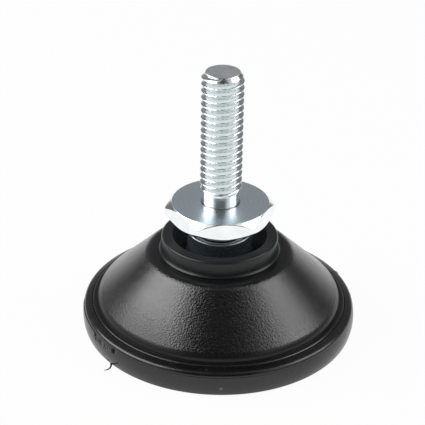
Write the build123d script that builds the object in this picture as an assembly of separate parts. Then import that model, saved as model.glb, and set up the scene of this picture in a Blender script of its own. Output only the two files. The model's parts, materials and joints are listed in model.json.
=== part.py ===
from build123d import *

import math
import os

# Levelling foot: a threaded stud with a hexagon and a ball, snapped into a socket insert that sits in a
# conical base with a rubber sole. The floor is at z = 0, the stud stands along +Z, and all sizes are in
# millimetres and degrees.

# Stud above the hexagon: M6 thread and plain relief
THREAD_RADIUS = 3.0
STUD_LENGTH = 20.0
STUD_END_CHAMFER = 0.62
RELIEF_DEPTH = 0.4
RELIEF_LENGTH = 2.2
RELIEF_SLOPE_HEIGHT = 0.35

# Hexagon, 14 mm across the flats, with its corners turned down and both edges chamfered
HEX_ACROSS_FLATS = 14.0
HEX_THICKNESS = 2.45
HEX_CORNER_TRIM = 0.13
HEX_FACE_INSET = 0.1
HEX_CHAMFER_ANGLE = 38.5
HEX_TURN = 6.3
HEX_LIFT = 2.8

# Stud below the hexagon: waist, neck and ball
WAIST_DEPTH = 1.36
WAIST_LENGTH = 2.05
WAIST_ROUND = 0.6
NECK_RADIUS = 4.66
NECK_SHOULDER_ROUND = 0.25
BALL_RADIUS = 6.0
BALL_FLAT_DROP = 4.2

# How far the stud leans, and the room left for it there
LEAN_LIMIT = 15.0
LIP_GAP = 0.22
MOUTH_GAP = 0.38
BALL_FLOOR_GAP = 0.334

# Socket insert: collar above the base, slotted fingers inside it
BALL_CLEARANCE = 0.05
SOCKET_WALL = 1.9
SOCKET_FLOOR_GAP = 0.3
COLLAR_HEIGHT = 2.5
COLLAR_WALL = 1.57
COLLAR_EDGE_ROUND = 0.38
MOUTH_EDGE_ROUND = 0.2
BEAD_WIDTH = 0.36
BEAD_HEIGHT = 0.3
BEAD_ROUND = 0.18
SEAT_DEPTH = 3.6
SLOT_COUNT = 6
SLOT_WIDTH = 1.2
SLOT_ROOT = 0.9
SNAP_LIFT = 1.1
SNAP_DEPTH = 0.3
SNAP_HALF_HEIGHT = 0.8

# Base: cone, flange, boss and ribs
CONE_FOOT_RADIUS = 17.6
CONE_HEIGHT = 6.97
CONE_STEP = 0.93
CONE_TOP_LEDGE = 1.52
CONE_TOP_ROUND = 2.0
CONE_FOOT_ROUND = 1.3
FLANGE_WIDTH = 0.96
FLANGE_THICKNESS = 2.3
FLANGE_ROUND = 0.2
SHELL_WALL = 1.9
RIM_WIDTH = 2.2
BOSS_WALL = 1.7
BOSS_FLOOR = 1.0
RIB_COUNT = 8
RIB_THICKNESS = 1.4
BORE_CLEARANCE = 0.05
BORE_EDGE_CHAMFER = 0.2
SNAP_CLEARANCE = 0.1

# Rubber sole: a cup that grips the flange
SOLE_THICKNESS = 1.8
SOLE_WALL = 1.38
SOLE_WIDEST_LEVEL = 1.5
SOLE_SIDE_RADIUS = 6.0
SOLE_FOOT_ROUND = 0.75
SOLE_LIP_DROP = 0.1
SOLE_LIP_FALL = 0.4
SOLE_SHOULDER_ROUND = 0.8
SOLE_CLEARANCE = 0.06
GRIP_BEAD_LIFT = 0.8
GRIP_BEAD_DEPTH = 0.4
GRIP_BEAD_HALF_HEIGHT = 0.5
GROOVE_WIDTH = 1.1
GROOVE_DEPTH = 0.55
GROOVE_PITCH = 2.9
GROOVE_FIRST_RADIUS = 8.0
GROOVE_EDGE_MARGIN = 1.9


def ball_reach():
    """Returns how far below its centre the leaning ball comes, at the edge of its flat."""
    lean = math.radians(LEAN_LIMIT)
    flat_radius = math.sqrt(BALL_RADIUS**2 - BALL_FLAT_DROP**2)
    return BALL_FLAT_DROP * math.cos(lean) + flat_radius * math.sin(lean)


def neck_reach(rise):
    """Returns how far from the axis the leaning neck's side comes, at a rise above the ball's centre."""
    lean = math.radians(LEAN_LIMIT)
    return NECK_RADIUS / math.cos(lean) + rise * math.tan(lean)


def lip_rise():
    """Returns the rise above the ball's centre where its seat stops, just clear of the leaning neck.

    There the seat's radius equals the neck's reach plus the lip gap, which gives a quadratic in the rise.
    """
    slope = math.tan(math.radians(LEAN_LIMIT))
    start = neck_reach(0) + LIP_GAP
    square = 1 + slope**2
    root = math.sqrt((start * slope) ** 2 + square * (CAVITY_RADIUS**2 - start**2))
    return (root - start * slope) / square


# Heights, from the floor up
FLANGE_TOP = SOLE_THICKNESS + FLANGE_THICKNESS
CONE_FOOT = FLANGE_TOP + CONE_STEP
BASE_TOP = CONE_FOOT + CONE_HEIGHT
COLLAR_TOP = BASE_TOP + COLLAR_HEIGHT
HEX_BOTTOM = COLLAR_TOP + HEX_LIFT
HEX_TOP = HEX_BOTTOM + HEX_THICKNESS
STUD_END = HEX_TOP + STUD_LENGTH
BORE_FLOOR = SOLE_THICKNESS + BOSS_FLOOR
SOCKET_FOOT = BORE_FLOOR + SOCKET_FLOOR_GAP
SNAP_LEVEL = SOCKET_FOOT + SNAP_LIFT
BALL_HEIGHT = BORE_FLOOR + BALL_FLOOR_GAP + ball_reach()

# Radii, from the axis out
CAVITY_RADIUS = BALL_RADIUS + BALL_CLEARANCE
LIP_RADIUS = neck_reach(lip_rise()) + LIP_GAP
MOUTH_RADIUS = neck_reach(COLLAR_TOP - BALL_HEIGHT) + MOUTH_GAP
SOCKET_RADIUS = CAVITY_RADIUS + SOCKET_WALL
COLLAR_RADIUS = MOUTH_RADIUS + COLLAR_WALL
BORE_RADIUS = SOCKET_RADIUS + BORE_CLEARANCE
BEAD_RADIUS = max(COLLAR_RADIUS, BORE_RADIUS) + BEAD_WIDTH
BOSS_RADIUS = BORE_RADIUS + BOSS_WALL
CONE_TOP_RADIUS = BEAD_RADIUS + CONE_TOP_LEDGE
FLANGE_RADIUS = CONE_FOOT_RADIUS + FLANGE_WIDTH
SOLE_INNER_RADIUS = FLANGE_RADIUS + SOLE_CLEARANCE
SOLE_RADIUS = SOLE_INNER_RADIUS + SOLE_WALL


def rounded_outline(corners):
    """Returns a closed face from (radius, height, rounding) corners, each rounded by its own radius."""
    face = make_face(Polyline(*[(x, y) for x, y, _ in corners], close=True))
    for x, y, rounding in corners:
        if rounding:
            face = fillet(face.vertices().sort_by_distance((x, y, 0))[0], rounding)
    return face


def turned(face):
    """Returns the solid swept by a face of (radius, height) about the upright axis."""
    return revolve(Plane.XZ * face, axis=Axis.Z)


def upright_cylinder(radius, bottom, top):
    """Returns a cylinder on the upright axis between two heights."""
    return Pos(0, 0, bottom) * Cylinder(radius, top - bottom, align=(Align.CENTER, Align.CENTER, Align.MIN))


def vee_ring(wall_radius, level, depth, half_height):
    """Returns a ring of V section that stands out of a round wall by a depth, inwards if it is negative."""
    return turned(
        make_face(
            Polyline(
                (wall_radius - depth, level - half_height),
                (wall_radius, level - half_height),
                (wall_radius + depth, level),
                (wall_radius, level + half_height),
                (wall_radius - depth, level + half_height),
                close=True,
            )
        )
    )


def hexagon():
    """Returns the hexagon, its corners turned down and both of its edges chamfered."""
    flats = Rot(0, 0, HEX_TURN) * RegularPolygon(HEX_ACROSS_FLATS / 2, side_count=6, major_radius=False)
    prism = extrude(Pos(0, 0, HEX_BOTTOM) * flats, HEX_THICKNESS)
    face_radius = HEX_ACROSS_FLATS / 2 - HEX_FACE_INSET
    corner_radius = HEX_ACROSS_FLATS / math.sqrt(3) - HEX_CORNER_TRIM
    drop = (corner_radius - face_radius) * math.tan(math.radians(HEX_CHAMFER_ANGLE))
    blank = turned(
        make_face(
            Polyline(
                (0, HEX_BOTTOM),
                (face_radius, HEX_BOTTOM),
                (corner_radius, HEX_BOTTOM + drop),
                (corner_radius, HEX_TOP - drop),
                (face_radius, HEX_TOP),
                (0, HEX_TOP),
                close=True,
            )
        )
    )
    return prism & blank


def ball_stud():
    """Returns the turned stud: thread, relief, hexagon, waist, neck and ball in one piece.

    The thread is a plain cylinder of its outer diameter.
    """
    relief_radius = THREAD_RADIUS - RELIEF_DEPTH
    relief_top = HEX_TOP + RELIEF_LENGTH
    upper = turned(
        make_face(
            Polyline(
                (0, HEX_TOP),
                (relief_radius, HEX_TOP),
                (relief_radius, relief_top - RELIEF_SLOPE_HEIGHT),
                (THREAD_RADIUS, relief_top),
                (THREAD_RADIUS, STUD_END - STUD_END_CHAMFER),
                (THREAD_RADIUS - STUD_END_CHAMFER, STUD_END),
                (0, STUD_END),
                close=True,
            )
        )
    )
    waist_radius = NECK_RADIUS - WAIST_DEPTH
    shoulder = HEX_BOTTOM - WAIST_LENGTH
    lower = turned(
        rounded_outline(
            [
                (0, BALL_HEIGHT, 0),
                (NECK_RADIUS, BALL_HEIGHT, 0),
                (NECK_RADIUS, shoulder, NECK_SHOULDER_ROUND),
                (waist_radius, shoulder, WAIST_ROUND),
                (waist_radius, HEX_BOTTOM, 0),
                (0, HEX_BOTTOM, 0),
            ]
        )
    )
    ball = Pos(0, 0, BALL_HEIGHT) * Sphere(BALL_RADIUS)
    cut_off = upright_cylinder(BALL_RADIUS, BALL_HEIGHT - BALL_RADIUS, BALL_HEIGHT - BALL_FLAT_DROP)
    return upper + hexagon() + lower + (ball - cut_off)


def ball_socket():
    """Returns the socket insert: collar, seat for the ball, slotted fingers and snap bead."""
    bead_bottom = BASE_TOP + BORE_CLEARANCE
    bead_top = bead_bottom + BEAD_HEIGHT
    body = turned(
        rounded_outline(
            [
                (0, SOCKET_FOOT, 0),
                (SOCKET_RADIUS, SOCKET_FOOT, 0),
                (SOCKET_RADIUS, bead_bottom, 0),
                (BEAD_RADIUS, bead_bottom, 0),
                (BEAD_RADIUS, bead_top, BEAD_ROUND),
                (COLLAR_RADIUS, bead_top, 0),
                (COLLAR_RADIUS, COLLAR_TOP, COLLAR_EDGE_ROUND),
                (0, COLLAR_TOP, 0),
            ]
        )
    )
    snap_bead = vee_ring(SOCKET_RADIUS, SNAP_LEVEL, SNAP_DEPTH, SNAP_HALF_HEIGHT)
    cavity = Pos(0, 0, BALL_HEIGHT) * Sphere(CAVITY_RADIUS)
    well = upright_cylinder(math.sqrt(CAVITY_RADIUS**2 - SEAT_DEPTH**2), BORE_FLOOR, BALL_HEIGHT)
    funnel = turned(
        make_face(
            Polyline(
                (0, BALL_HEIGHT),
                (LIP_RADIUS, BALL_HEIGHT),
                (LIP_RADIUS, BALL_HEIGHT + lip_rise()),
                (MOUTH_RADIUS, COLLAR_TOP),
                (0, COLLAR_TOP),
                close=True,
            )
        )
    )
    insert = body + snap_bead - cavity - well - funnel
    top_edges = insert.edges().filter_by(GeomType.CIRCLE).group_by(Axis.Z)[-1]
    insert = fillet(top_edges.sort_by(SortBy.RADIUS)[0], MOUTH_EDGE_ROUND)
    slot_top = BASE_TOP - SLOT_ROOT
    slot = Pos(0, 0, slot_top) * Box(
        BEAD_RADIUS, SLOT_WIDTH, slot_top, align=(Align.MIN, Align.CENTER, Align.MAX)
    )
    for index in range(SLOT_COUNT):
        insert -= Rot(0, 0, index * 360 / SLOT_COUNT) * slot
    return insert


def base_hollow():
    """Returns the space under the cone: its inside, less the boss and the ribs that stay."""
    slope = CONE_HEIGHT / (CONE_FOOT_RADIUS - CONE_TOP_RADIUS)
    side_wall = SHELL_WALL / math.sin(math.atan(slope))
    rim_radius = CONE_FOOT_RADIUS - RIM_WIDTH
    ceiling = BASE_TOP - SHELL_WALL
    ceiling_radius = max(CONE_FOOT_RADIUS - side_wall - (ceiling - CONE_FOOT) / slope, 0)
    wall_start = CONE_FOOT + (RIM_WIDTH - side_wall) * slope
    hollow = turned(
        make_face(
            Polyline(
                (0, 0),
                (rim_radius, 0),
                (rim_radius, wall_start),
                (ceiling_radius, ceiling),
                (0, ceiling),
                close=True,
            )
        )
    )
    hollow -= upright_cylinder(BOSS_RADIUS, 0, BASE_TOP)
    rib = Box(FLANGE_RADIUS, RIB_THICKNESS, BASE_TOP, align=(Align.MIN, Align.CENTER, Align.MIN))
    for index in range(RIB_COUNT):
        hollow -= Rot(0, 0, (index + 0.5) * 360 / RIB_COUNT) * rib
    return hollow


def foot_base():
    """Returns the base: a conical shell with a flange, a boss bored for the socket insert, and ribs."""
    cone = turned(
        rounded_outline(
            [
                (0, SOLE_THICKNESS, 0),
                (CONE_FOOT_RADIUS, SOLE_THICKNESS, 0),
                (CONE_FOOT_RADIUS, CONE_FOOT, CONE_FOOT_ROUND),
                (CONE_TOP_RADIUS, BASE_TOP, CONE_TOP_ROUND),
                (0, BASE_TOP, 0),
            ]
        )
    )
    flange = turned(
        rounded_outline(
            [
                (0, SOLE_THICKNESS, 0),
                (FLANGE_RADIUS, SOLE_THICKNESS, 0),
                (FLANGE_RADIUS, FLANGE_TOP, FLANGE_ROUND),
                (0, FLANGE_TOP, 0),
            ]
        )
    )
    bore = upright_cylinder(BORE_RADIUS, BORE_FLOOR, BASE_TOP)
    bore_edge = Pos(0, 0, BASE_TOP) * Cone(
        BORE_RADIUS, BORE_RADIUS + 2 * BORE_EDGE_CHAMFER, 2 * BORE_EDGE_CHAMFER
    )
    snap_groove = vee_ring(
        BORE_RADIUS, SNAP_LEVEL, SNAP_DEPTH + SNAP_CLEARANCE, SNAP_HALF_HEIGHT + SNAP_CLEARANCE
    )
    grip_groove = vee_ring(
        FLANGE_RADIUS, SOLE_THICKNESS + GRIP_BEAD_LIFT, -GRIP_BEAD_DEPTH, GRIP_BEAD_HALF_HEIGHT
    )
    return cone + flange - base_hollow() - bore - bore_edge - snap_groove - grip_groove


def rubber_pad():
    """Returns the rubber sole: a cup that grips the flange, with ring grooves underneath."""
    lip = FLANGE_TOP - SOLE_LIP_DROP
    shoulder = lip - SOLE_LIP_FALL
    side_middle = SOLE_RADIUS - SOLE_SIDE_RADIUS
    foot_radius = side_middle + math.sqrt(SOLE_SIDE_RADIUS**2 - SOLE_WIDEST_LEVEL**2)
    edge_radius = side_middle + math.sqrt(SOLE_SIDE_RADIUS**2 - (shoulder - SOLE_WIDEST_LEVEL) ** 2)
    side = ThreePointArc((foot_radius, 0), (SOLE_RADIUS, SOLE_WIDEST_LEVEL), (edge_radius, shoulder))
    rest = Polyline(
        (edge_radius, shoulder),
        (SOLE_INNER_RADIUS, lip),
        (SOLE_INNER_RADIUS, SOLE_THICKNESS),
        (0, SOLE_THICKNESS),
        (0, 0),
        (foot_radius, 0),
    )
    section = make_face(side + rest)
    section = fillet(section.vertices().sort_by_distance((foot_radius, 0, 0))[0], SOLE_FOOT_ROUND)
    section = fillet(section.vertices().sort_by_distance((edge_radius, shoulder, 0))[0], SOLE_SHOULDER_ROUND)
    bead_level = SOLE_THICKNESS + GRIP_BEAD_LIFT
    bead_half_height = GRIP_BEAD_HALF_HEIGHT - SOLE_CLEARANCE
    grip_bead = vee_ring(SOLE_INNER_RADIUS, bead_level, -GRIP_BEAD_DEPTH, bead_half_height)
    pad = turned(section) + grip_bead
    groove_room = foot_radius - GROOVE_EDGE_MARGIN - GROOVE_FIRST_RADIUS
    for index in range(int(groove_room / GROOVE_PITCH) + 1):
        middle = GROOVE_FIRST_RADIUS + index * GROOVE_PITCH
        pad -= extrude(Circle(middle + GROOVE_WIDTH / 2) - Circle(middle - GROOVE_WIDTH / 2), GROOVE_DEPTH)
    return pad


def main():
    """Builds each piece and writes it to its own file."""
    os.makedirs("parts", exist_ok=True)
    for make in (ball_stud, ball_socket, foot_base, rubber_pad):
        export_step(make(), f"parts/{make.__name__}.step")


main()
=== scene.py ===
"""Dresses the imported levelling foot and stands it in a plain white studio.

Every piece is a surface worked out with numpy on a grid of two parameters: one runs along a section of
(radius, height) and the other goes round the upright axis. Sizes in the classes are millimetres and
degrees, and the meshes are written in metres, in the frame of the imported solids.
"""

import json
import logging
import math
from collections.abc import Mapping, Sequence
from dataclasses import dataclass
from enum import Enum

import bmesh
import bpy
import numpy as np
from mathutils import Matrix, Quaternion, Vector


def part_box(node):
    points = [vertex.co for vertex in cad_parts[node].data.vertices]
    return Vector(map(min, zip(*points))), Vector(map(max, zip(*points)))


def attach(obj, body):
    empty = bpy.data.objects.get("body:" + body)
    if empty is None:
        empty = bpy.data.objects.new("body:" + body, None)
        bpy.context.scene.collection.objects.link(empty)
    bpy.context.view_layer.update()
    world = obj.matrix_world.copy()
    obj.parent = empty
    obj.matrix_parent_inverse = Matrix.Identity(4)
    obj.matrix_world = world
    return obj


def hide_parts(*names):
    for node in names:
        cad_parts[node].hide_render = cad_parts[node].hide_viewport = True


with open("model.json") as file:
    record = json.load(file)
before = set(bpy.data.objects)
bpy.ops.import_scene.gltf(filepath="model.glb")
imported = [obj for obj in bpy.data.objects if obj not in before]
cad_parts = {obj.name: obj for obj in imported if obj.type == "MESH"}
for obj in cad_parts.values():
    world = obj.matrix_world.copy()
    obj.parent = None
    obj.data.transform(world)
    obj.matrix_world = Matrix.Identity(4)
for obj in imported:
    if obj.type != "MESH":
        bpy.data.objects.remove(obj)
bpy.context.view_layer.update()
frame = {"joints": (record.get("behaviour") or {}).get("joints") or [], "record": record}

MM = 0.001
MERGE_DISTANCE = 2e-7
EDGE_MARGIN = 0.05
LOG = logging.getLogger("levelling_foot")

Colour = tuple[float, float, float, float]


class Slot(Enum):
    """Material slots of the record."""

    ZINC = "zinc_plated_steel"
    SMOOTH = "smooth_black_plastic"
    GRAINED = "grained_black_plastic"
    RUBBER = "black_rubber"


class Body(Enum):
    """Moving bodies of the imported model."""

    FOOT = "foot"
    SOCKET = "socket"
    STUD = "stud"


# Surfaces


def unit(vectors: np.ndarray) -> np.ndarray:
    """Scales each vector to length one and leaves a zero vector as it is."""
    length = np.linalg.norm(vectors, axis=-1, keepdims=True)
    return vectors / np.where(length > 0, length, 1)


def soft_clip(value: np.ndarray, low: float, high: float, softness: float) -> np.ndarray:
    """Clips values between two limits with rounded shoulders.

    Each limit is the mean of the value and its distance from the limit, taken as the root of the distance
    squared plus the softness squared, so the corner becomes a short curve.

    Args:
        value: Values to clip.
        low: Lower limit.
        high: Upper limit.
        softness: Width of the rounded corner, in the values' own unit.

    Returns:
        The clipped values.
    """
    above = value - low
    raised = low + (above + np.sqrt(above**2 + softness**2)) / 2
    below = high - raised
    return high - (below + np.sqrt(below**2 + softness**2)) / 2


def smooth_step(value: np.ndarray, start: float, end: float) -> np.ndarray:
    """Rises from 0 at the start to 1 at the end along the cubic 3t squared minus 2t cubed."""
    share = np.clip((value - start) / (end - start), 0, 1)
    return share * share * (3 - 2 * share)


def arc(
    centre: tuple[float, float], radius: float, start: float, end: float, step: float = 6.0
) -> np.ndarray:
    """Returns points of a circle's arc, centre plus radius times cosine and sine of the angle.

    Args:
        centre: Radius and height of the arc's centre.
        radius: Radius of the arc.
        start: First angle in degrees.
        end: Last angle in degrees.
        step: Largest angle between two points.

    Returns:
        An array of (radius, height) rows.
    """
    count = max(2, math.ceil(abs(end - start) / step) + 1)
    angle = np.radians(np.linspace(start, end, count))
    return np.stack((centre[0] + radius * np.cos(angle), centre[1] + radius * np.sin(angle)), axis=-1)


def rounded_line(corners: Sequence[tuple[float, ...]], step: float = 0.6) -> np.ndarray:
    """Turns the corners of an open section into a dense line.

    A corner with a rounding becomes the arc that touches both of its runs. A run is divided evenly, with
    one more point close to each of its ends, so that a flat keeps one even shade right up to its edge.

    Args:
        corners: Rows of radius, height and, where the corner is rounded, the rounding's radius.
        step: Longest piece of a straight run.

    Returns:
        An array of (radius, height) rows.
    """
    spots = np.array([corner[:2] for corner in corners], dtype=float)
    rounding = np.array([corner[2] if len(corner) > 2 else 0.0 for corner in corners])
    coming = unit(np.diff(spots, axis=0, prepend=spots[:1]))
    going = unit(np.diff(spots, axis=0, append=spots[-1:]))
    cross = coming[:, 0] * going[:, 1] - coming[:, 1] * going[:, 0]
    turn = np.arctan2(cross, np.sum(coming * going, axis=1))
    turn[[0, -1]] = 0
    setback = (rounding * np.tan(np.abs(turn) / 2))[:, None]
    starts = spots - coming * setback
    ends = spots + going * setback
    lines = []
    for index in range(len(spots)):
        if setback[index, 0] > 0:
            side = np.sign(turn[index]) * np.array((-coming[index, 1], coming[index, 0]))
            centre = starts[index] + side * rounding[index]
            first = math.degrees(math.atan2(*(starts[index] - centre)[::-1]))
            lines.append(arc(tuple(centre), rounding[index], first, first + math.degrees(turn[index]), 9.0))
        else:
            lines.append(spots[index : index + 1])
        if index + 1 < len(spots):
            run = starts[index + 1] - ends[index]
            length = float(np.linalg.norm(run))
            near = min(EDGE_MARGIN, length / 4) / length
            even = np.linspace(0, 1, max(1, math.ceil(length / step)) + 1)[1:-1]
            share = np.concatenate(([near], even, [1 - near]))
            lines.append(ends[index] + share[:, None] * run)
    return np.vstack(lines)


def around_axis(radius: np.ndarray, angle: np.ndarray, height: np.ndarray) -> np.ndarray:
    """Places points about the upright axis: x and y are the radius times cosine and sine of the angle."""
    radius, angle, height = np.broadcast_arrays(radius, angle, height)
    return np.stack((radius * np.cos(angle), radius * np.sin(angle), height), axis=-1)


def grid_quads(rows: int, columns: int, wrap_rows: bool = False, wrap_columns: bool = True) -> np.ndarray:
    """Numbers the corners of every cell of a grid, whose points are counted row by row.

    Cell (i, j) joins points (i, j), (i, j + 1), (i + 1, j + 1) and (i + 1, j).

    Args:
        rows: Number of rows of points.
        columns: Number of points in a row.
        wrap_rows: Whether the last row joins the first one.
        wrap_columns: Whether the last column joins the first one.

    Returns:
        An array of shape (row cells, column cells, 4).
    """
    row = np.arange(rows if wrap_rows else rows - 1)[:, None]
    column = np.arange(columns if wrap_columns else columns - 1)[None, :]
    next_row = (row + 1) % rows
    next_column = (column + 1) % columns
    corners = ((row, column), (row, next_column), (next_row, next_column), (next_row, column))
    return np.stack([i * columns + j for i, j in corners], axis=-1)


def make_piece(
    name: str, points: np.ndarray, sharp: float, faces: Sequence[Sequence[int]] | None = None
) -> bpy.types.Object:
    """Puts points and faces into a mesh object at the origin.

    Points that meet at poles and seams are merged, points that no face uses are dropped, and the faces are
    turned outwards. Edges that bend by more than the sharp angle stay crisp in shading.

    Args:
        name: Name of the object.
        points: Points in millimetres, in an array whose last axis is x, y, z.
        sharp: Angle in degrees past which an edge is crisp.
        faces: Point numbers of each face, or nothing for every cell of the points' own grid.

    Returns:
        The new object.
    """
    if faces is None:
        faces = grid_quads(*points.shape[:2]).reshape(-1, 4).tolist()
    mesh = bpy.data.meshes.new(name)
    mesh.from_pydata((points.reshape(-1, 3) * MM).tolist(), [], faces)
    work = bmesh.new()
    work.from_mesh(mesh)
    bmesh.ops.remove_doubles(work, verts=work.verts, dist=MERGE_DISTANCE)
    loose = [vert for vert in work.verts if not vert.link_faces]
    bmesh.ops.delete(work, geom=loose, context="VERTS")
    bmesh.ops.recalc_face_normals(work, faces=work.faces)
    open_edges = sum(1 for edge in work.edges if len(edge.link_faces) != 2)
    work.to_mesh(mesh)
    work.free()
    mesh.shade_smooth()
    mesh.set_sharp_from_angle(angle=math.radians(sharp))
    piece = bpy.data.objects.new(name, mesh)
    bpy.context.scene.collection.objects.link(piece)
    mesh.calc_loop_triangles()
    LOG.info("%s: %d triangles, %d open edges", name, len(mesh.loop_triangles), open_edges)
    return piece


def box_mm(node: str) -> tuple[Vector, Vector]:
    """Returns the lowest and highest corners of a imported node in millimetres."""
    low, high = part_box(node)
    return low / MM, high / MM


def ball_centre() -> float:
    """Returns the height of the ball's centre in millimetres, which the lean turns about."""
    lean = next(joint for joint in frame["joints"] if joint["name"] == "lean")
    return lean["pos_m"][2] / MM


# Shader expressions


class Value:
    """A number socket of a shader graph: arithmetic on it adds Math nodes."""

    def __init__(self, graph: "Graph", socket: bpy.types.NodeSocket) -> None:
        """Wraps a socket of a graph."""
        self.graph = graph
        self.socket = socket

    def math(self, operation: str, *operands: "Value | float") -> "Value":
        """Adds a Math node.

        Args:
            operation: The node's operation.
            operands: What goes into its sockets, in order.

        Returns:
            The node's result.
        """
        return self.graph.value("ShaderNodeMath", {"operation": operation}, dict(enumerate(operands)))

    def __add__(self, other: "Value | float") -> "Value":
        """Adds."""
        return self.math("ADD", self, other)

    def __radd__(self, other: float) -> "Value":
        """Adds from the left."""
        return self.math("ADD", other, self)

    def __sub__(self, other: "Value | float") -> "Value":
        """Subtracts."""
        return self.math("SUBTRACT", self, other)

    def __rsub__(self, other: float) -> "Value":
        """Subtracts from the left."""
        return self.math("SUBTRACT", other, self)

    def __mul__(self, other: "Value | float") -> "Value":
        """Multiplies."""
        return self.math("MULTIPLY", self, other)

    def __rmul__(self, other: float) -> "Value":
        """Multiplies from the left."""
        return self.math("MULTIPLY", other, self)

    def __truediv__(self, other: "Value | float") -> "Value":
        """Divides."""
        return self.math("DIVIDE", self, other)

    def __rtruediv__(self, other: float) -> "Value":
        """Divides from the left."""
        return self.math("DIVIDE", other, self)

    def sine(self) -> "Value":
        """Takes the sine."""
        return self.math("SINE", self)

    def size(self) -> "Value":
        """Takes the absolute value."""
        return self.math("ABSOLUTE", self)

    def most(self, other: "Value | float") -> "Value":
        """Takes the larger of two values."""
        return self.math("MAXIMUM", self, other)

    def rise(self, start: float, end: float) -> "Value":
        """Goes smoothly from 0 at the start to 1 at the end, or the other way where the end is lower.

        Args:
            start: Value that gives 0.
            end: Value that gives 1.

        Returns:
            The share between them.
        """
        sockets = {"Value": self, "From Min": start, "From Max": end}
        return self.graph.value("ShaderNodeMapRange", {"interpolation_type": "SMOOTHSTEP"}, sockets)


class Graph:
    """A node tree that is filled from expressions."""

    def __init__(self, tree: bpy.types.NodeTree) -> None:
        """Empties a node tree and takes it over."""
        self.tree = tree
        tree.nodes.clear()

    def add(
        self,
        kind: str,
        settings: Mapping[str, object] | None = None,
        sockets: Mapping[str | int, object] | None = None,
    ) -> bpy.types.Node:
        """Adds one node.

        Args:
            kind: The node's type.
            settings: Its settings, such as a Math node's operation, which are set first.
            sockets: Values or links of its input sockets, by name or number.

        Returns:
            The new node.
        """
        node = self.tree.nodes.new(kind)
        for name, setting in (settings or {}).items():
            setattr(node, name, setting)
        for key, content in (sockets or {}).items():
            if isinstance(content, Value):
                content = content.socket
            if isinstance(content, bpy.types.NodeSocket):
                self.tree.links.new(content, node.inputs[key])
            else:
                node.inputs[key].default_value = content
        return node

    def value(
        self, kind: str, settings: Mapping[str, object], sockets: Mapping[str | int, object]
    ) -> Value:
        """Adds a node and wraps its first output."""
        return Value(self, self.add(kind, settings, sockets).outputs[0])

    def place(self) -> bpy.types.NodeSocket:
        """Returns the Object coordinates."""
        return self.add("ShaderNodeTexCoord").outputs["Object"]

    def vector(self, operation: str, *operands: object) -> bpy.types.Node:
        """Adds a Vector Math node.

        Args:
            operation: The node's operation.
            operands: What goes into its sockets, in order.

        Returns:
            The node.
        """
        return self.add("ShaderNodeVectorMath", {"operation": operation}, dict(enumerate(operands)))

    def axes(self, vector: bpy.types.NodeSocket) -> tuple[Value, Value, Value]:
        """Splits a vector into its three numbers."""
        outputs = self.add("ShaderNodeSeparateXYZ", None, {0: vector}).outputs
        return Value(self, outputs[0]), Value(self, outputs[1]), Value(self, outputs[2])

    def distance(self, vector: bpy.types.NodeSocket, point: tuple[float, float, float]) -> Value:
        """Returns the distance in millimetres from a point given in millimetres."""
        away = self.vector("DISTANCE", vector, tuple(part * MM for part in point))
        return Value(self, away.outputs["Value"]) / MM

    def radius(self, vector: bpy.types.NodeSocket) -> Value:
        """Returns the distance from the upright axis in millimetres."""
        flat = self.vector("MULTIPLY", vector, (1.0, 1.0, 0.0)).outputs[0]
        return Value(self, self.vector("LENGTH", flat).outputs["Value"]) / MM

    def noise(
        self, vector: bpy.types.NodeSocket, grain: float, detail: float = 2.0, rough: float = 0.5
    ) -> Value:
        """Adds a noise pattern.

        Args:
            vector: Coordinates in metres.
            grain: Size of its features in millimetres.
            detail: Number of finer layers.
            rough: Share of each finer layer.

        Returns:
            Values about one half.
        """
        sockets = {"Vector": vector, "Scale": 1 / (grain * MM), "Detail": detail, "Roughness": rough}
        return self.value("ShaderNodeTexNoise", {}, sockets)

    def stretched(
        self, vector: bpy.types.NodeSocket, scale: tuple[float, float, float]
    ) -> bpy.types.NodeSocket:
        """Scales coordinates, so that a pattern is drawn out along an axis with a small scale."""
        return self.vector("MULTIPLY", vector, scale).outputs[0]

    def mix(self, share: Value | float, first: object, second: object) -> bpy.types.NodeSocket:
        """Mixes two colours.

        Args:
            share: Share of the second colour.
            first: A colour or colour socket.
            second: A colour or colour socket.

        Returns:
            The colour socket.
        """
        settings = {"data_type": "RGBA", "blend_type": "MIX"}
        return self.add("ShaderNodeMix", settings, {0: share, 6: first, 7: second}).outputs[2]

    def bump(self, height: Value, depth: float) -> bpy.types.NodeSocket:
        """Turns a height into a normal.

        Args:
            height: Height as a share of the depth.
            depth: Depth in millimetres.

        Returns:
            The normal socket.
        """
        sockets = {"Height": height, "Distance": depth * MM, "Strength": 1.0}
        return self.add("ShaderNodeBump", {}, sockets).outputs[0]

    def principled(self, sockets: Mapping[str | int, object]) -> bpy.types.NodeSocket:
        """Adds a Principled shader and returns its output."""
        return self.add("ShaderNodeBsdfPrincipled", None, sockets).outputs[0]

    def blend(
        self, share: Value, first: bpy.types.NodeSocket, second: bpy.types.NodeSocket
    ) -> bpy.types.NodeSocket:
        """Mixes two shaders by the share of the second one."""
        return self.add("ShaderNodeMixShader", None, {0: share, 1: first, 2: second}).outputs[0]

    def surface(self, shader: bpy.types.NodeSocket, kind: str = "ShaderNodeOutputMaterial") -> None:
        """Joins a shader to the tree's output."""
        self.add(kind, None, {"Surface": shader})


def grey(level: float) -> Colour:
    """Returns a neutral colour."""
    return (level, level, level, 1.0)


def new_material(name: str) -> tuple[bpy.types.Material, Graph]:
    """Makes a material with an empty node tree.

    Args:
        name: Name of the material.

    Returns:
        The material and its graph.
    """
    material = bpy.data.materials.new(name)
    material.use_nodes = True
    return material, Graph(material.node_tree)


# Finishes


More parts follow.
